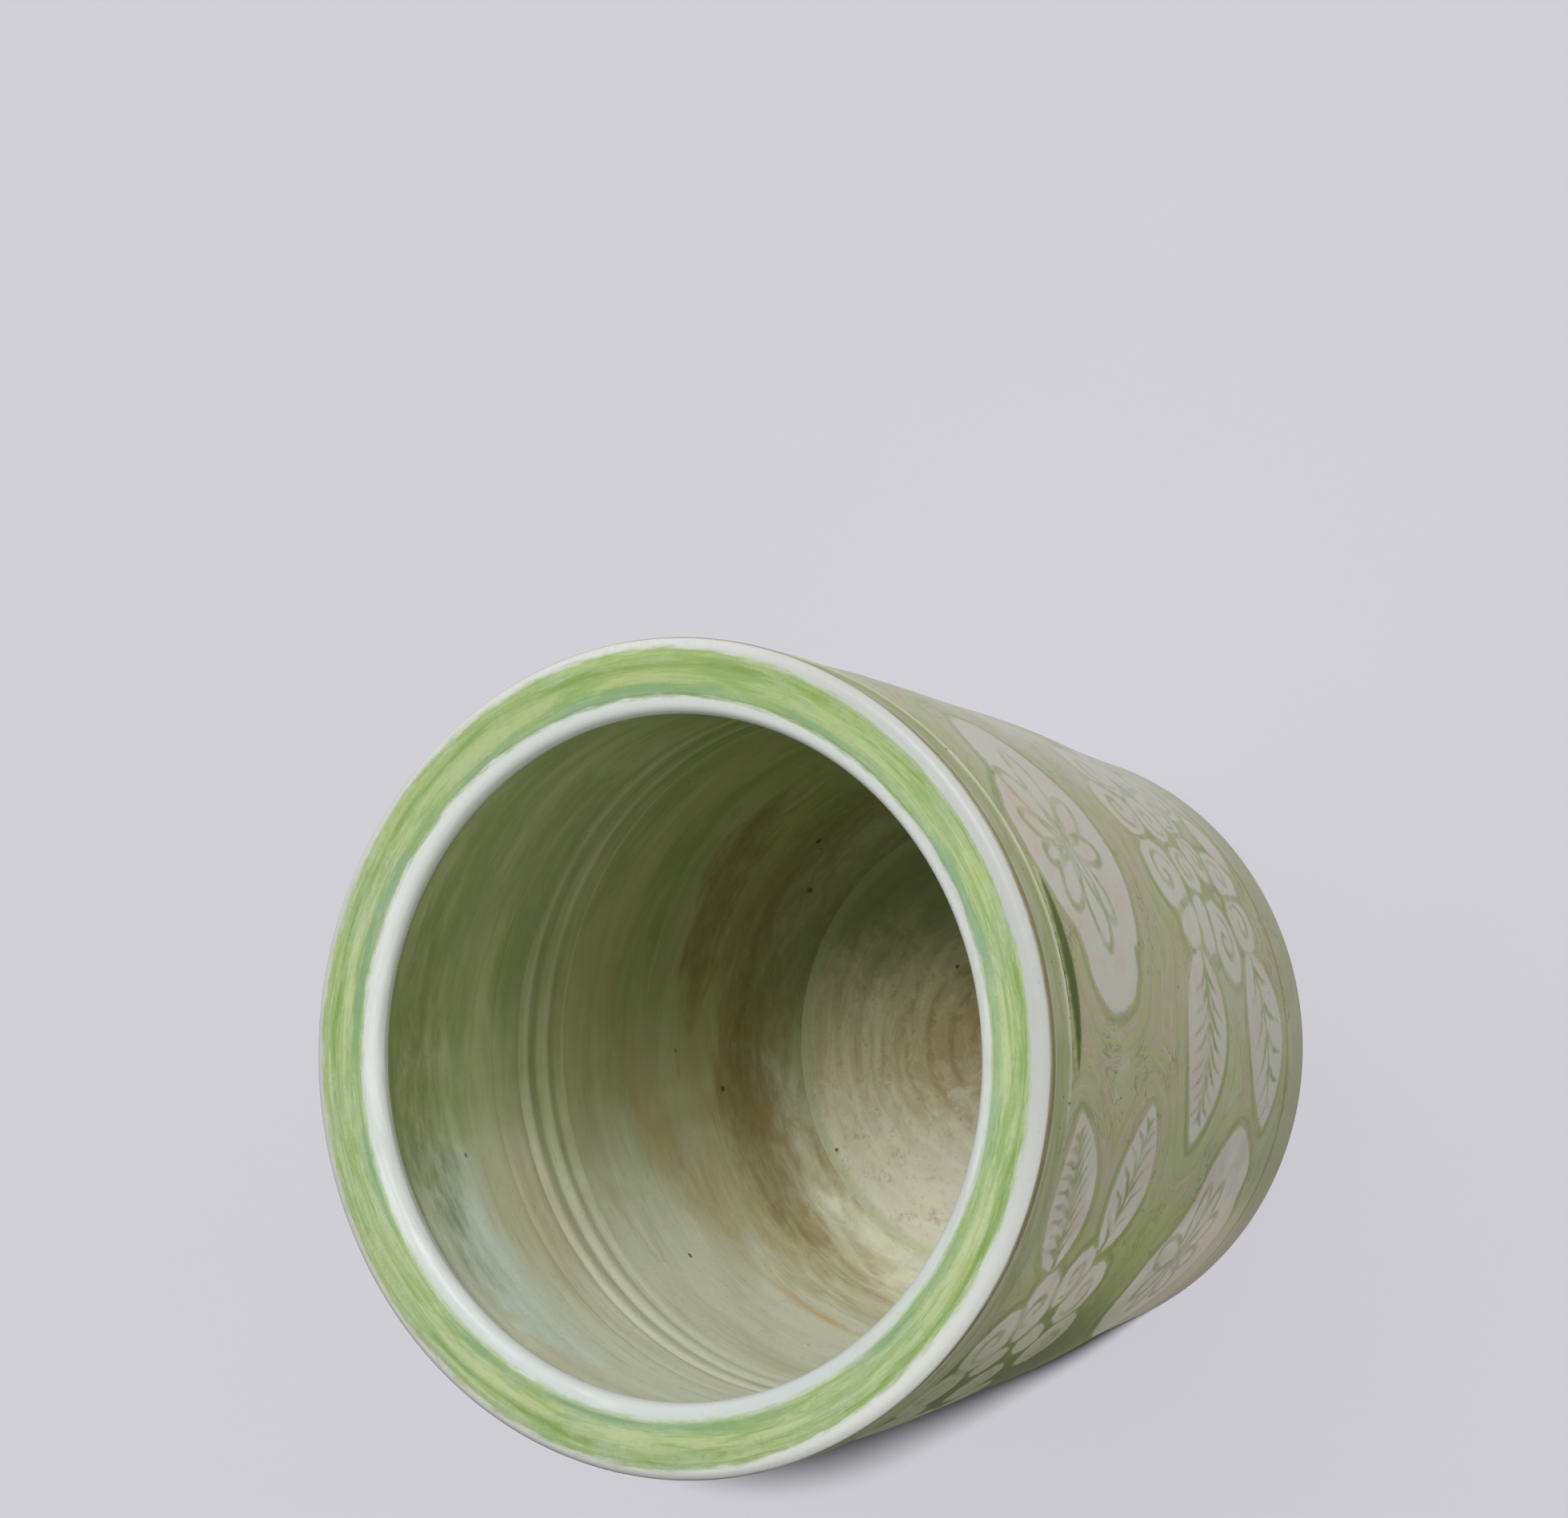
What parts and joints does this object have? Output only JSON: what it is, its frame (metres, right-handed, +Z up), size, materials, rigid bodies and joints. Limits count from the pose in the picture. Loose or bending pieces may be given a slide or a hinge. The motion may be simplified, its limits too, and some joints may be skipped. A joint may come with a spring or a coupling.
{
  "type": "brush holder pot",
  "caption": "Thick-lipped, slightly tapering porcelain pot that stands on a desk and holds writing brushes, green enamel with reserved leaf and blossom panels.",
  "frame": {"origin": "centre of the foot's underside, on the surface that the pot stands on", "axes": "+Z up along the pot's axis, out of the mouth; -Y is the front, the side with the large blossom and leaves between two peonies"},
  "size_m": [0.122, 0.122, 0.125],
  "materials": {
    "bare_clay": "unglazed fired clay, matt",
    "clay_body": "fired porcelain body under the glaze",
    "green_glaze": "streaky translucent green enamel, soft gloss",
    "dark_green_glaze": "thick pooled green enamel, glossy",
    "lip_enamel": "brushed yellow-green enamel, soft gloss",
    "white_slip": "white slip under clear glaze, worn",
    "panel_enamel": "colourless enamel over a greyish body",
    "celadon_glaze": "olive celadon glaze with brown stains",
    "white_glaze": "thin white glaze"
  },
  "bodies": {
    "root": {"foot_ring": "bare_clay", "floor_disc": "clay_body", "pot_wall": "clay_body", "lip_ring": "clay_body", "collar_band": "clay_body", "collar_glaze": "green_glaze", "lip_inner_slip": "white_slip", "lip_outer_slip": "white_slip", "lip_green_enamel": "lip_enamel", "green_wall_enamel": "green_glaze", "leaf_panels": "panel_enamel", "blossom_panels": "panel_enamel", "peony_panels": "panel_enamel", "pooled_glaze": "dark_green_glaze", "inner_glaze": "celadon_glaze", "floor_glaze": "celadon_glaze", "underside_glaze": "white_glaze"}
  },
  "joints": []
}
